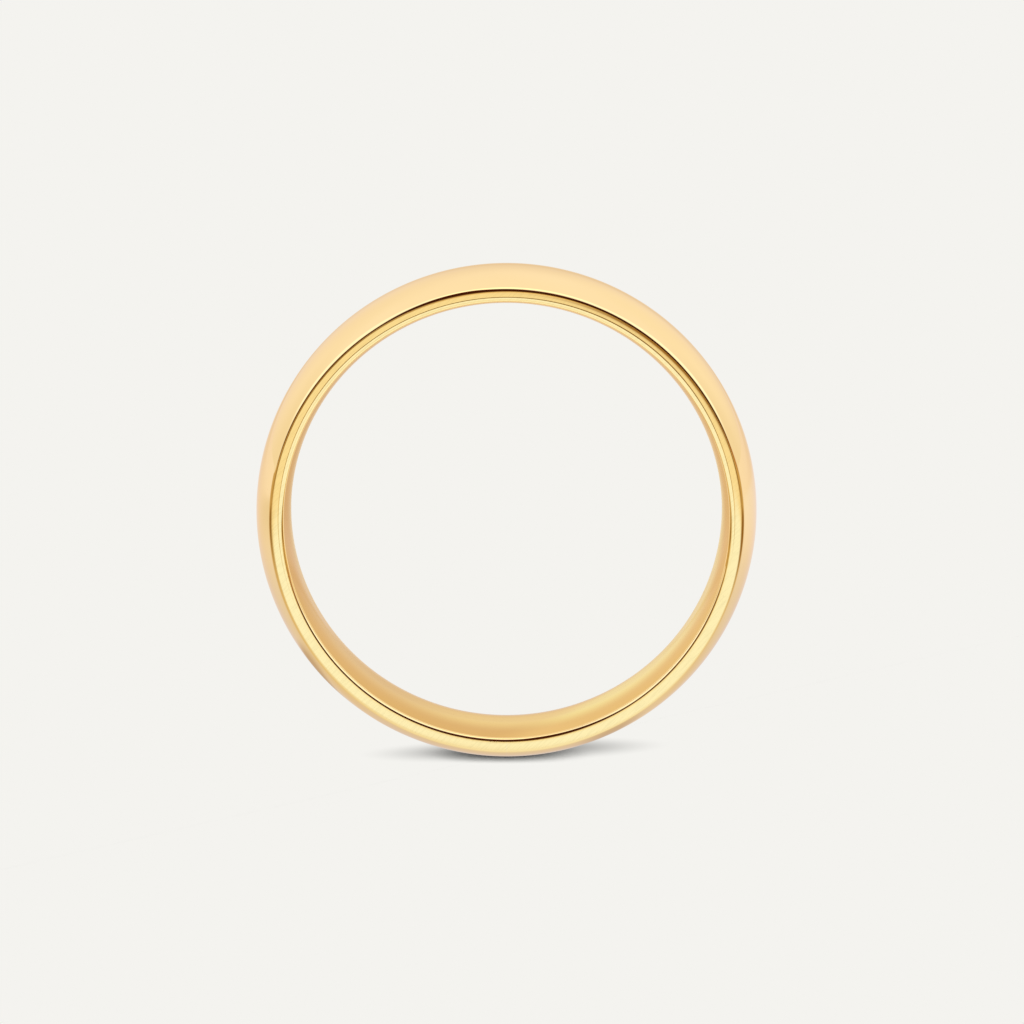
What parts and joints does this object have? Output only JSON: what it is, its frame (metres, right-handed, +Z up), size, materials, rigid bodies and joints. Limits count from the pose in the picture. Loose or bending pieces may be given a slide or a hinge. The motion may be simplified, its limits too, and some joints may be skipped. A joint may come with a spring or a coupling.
{
  "type": "wedding band",
  "caption": "Plain polished yellow-gold wedding band of court section: domed outside, flat side faces, inside flared for comfort, closed by a flush solder joint.",
  "frame": {"origin": "centre of the ring, on the finger bore's axis at mid-width", "axes": "+Y along the finger bore, +Z up with the ring standing on its rim and the solder joint lowest, +X to the right when looking along +Y"},
  "size_m": [0.0192, 0.004, 0.0192],
  "materials": {
    "gold": "polished 18-carat yellow gold",
    "gold_solder": "polished colour-matched hard gold solder"
  },
  "bodies": {
    "root": {"band": "gold", "solder_joint": "gold_solder"}
  },
  "joints": []
}
